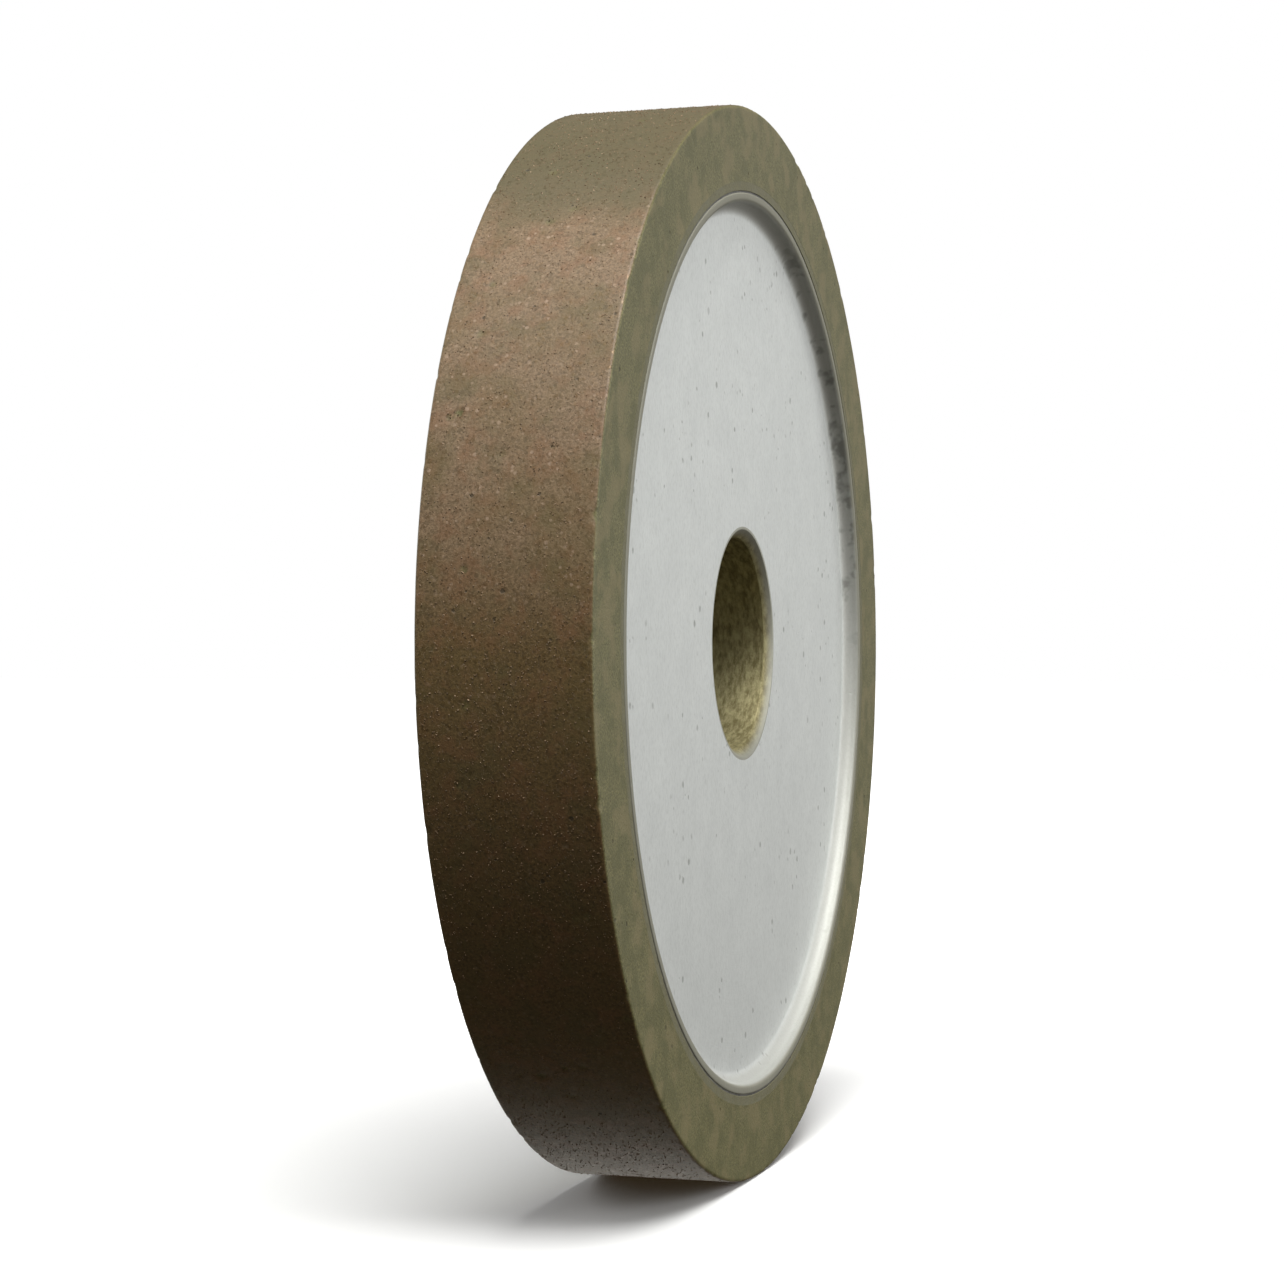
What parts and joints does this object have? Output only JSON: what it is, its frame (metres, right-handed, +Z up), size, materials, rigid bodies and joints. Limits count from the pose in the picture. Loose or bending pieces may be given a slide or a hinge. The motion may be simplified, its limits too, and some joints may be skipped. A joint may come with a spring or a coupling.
{
  "type": "diamond grinding wheel",
  "caption": "Flat resin-bond diamond grinding wheel: an abrasive rim on a recessed aluminium core with a bushed centre bore, for lapidary and tool grinding.",
  "frame": {"origin": "the wheel's centre: on the spin axis, midway between the two side faces", "axes": "+Y along the spin axis towards the back face, so the front face looks along -Y; +Z up; +X to the right of someone facing the front face"},
  "size_m": [0.1, 0.015, 0.1],
  "materials": {
    "diamond_layer": "matte",
    "backing": "matte",
    "adhesive": "satin",
    "core_metal": "satin",
    "bush_metal": "satin"
  },
  "bodies": {
    "root": {"abrasive_rim": "diamond_layer", "backing_ring": "backing", "bond_film": "adhesive", "core": "core_metal", "bore_bush": "bush_metal"}
  },
  "joints": []
}
